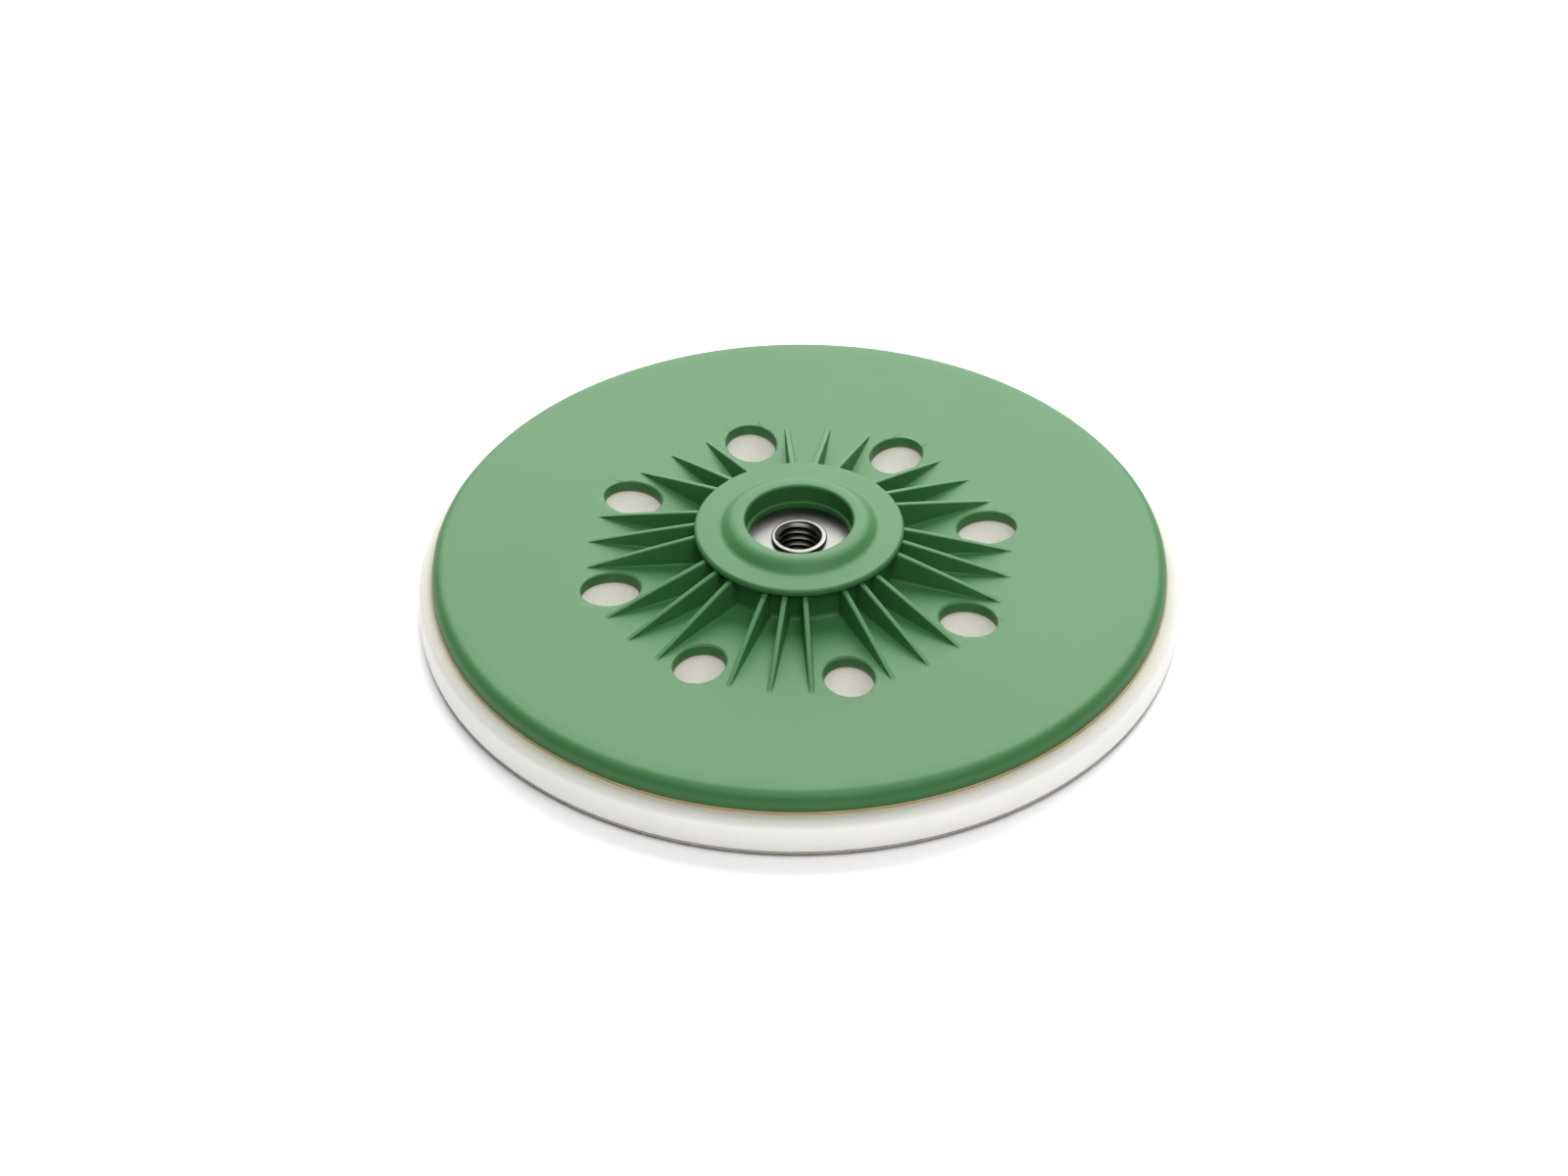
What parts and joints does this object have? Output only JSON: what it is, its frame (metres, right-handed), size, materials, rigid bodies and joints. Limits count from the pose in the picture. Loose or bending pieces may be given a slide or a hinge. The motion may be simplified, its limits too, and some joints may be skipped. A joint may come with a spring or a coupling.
{
  "type": "orbital sander backing pad",
  "caption": "Round backing pad of an orbital sander: a ribbed green plastic plate with a steel threaded hub, oval dust holes, a foam cushion and a sheet of hooks.",
  "frame": {"origin": "centre of the working face, at the tips of the hooks", "axes": "+Z along the spindle axis, towards the sander; +X through the middle of a dust hole"},
  "size_m": [0.125, 0.125, 0.0199],
  "materials": {
    "green_nylon": "moulded glass-filled nylon, fine matt texture",
    "zinc_plated_steel": "turned and zinc plated",
    "bond_adhesive": "cured tan polyurethane adhesive",
    "white_foam": "moulded open-cell polyurethane foam, off-white",
    "grey_hook_tape": "moulded polyamide hooks on a grey backing"
  },
  "bodies": {
    "root": {"carrier_plate": "green_nylon", "drive_plate": "zinc_plated_steel", "threaded_insert": "zinc_plated_steel", "carrier_bond_film": "bond_adhesive", "foam_cushion": "white_foam", "hook_bond_film": "bond_adhesive", "hook_sheet": "grey_hook_tape"}
  },
  "joints": []
}
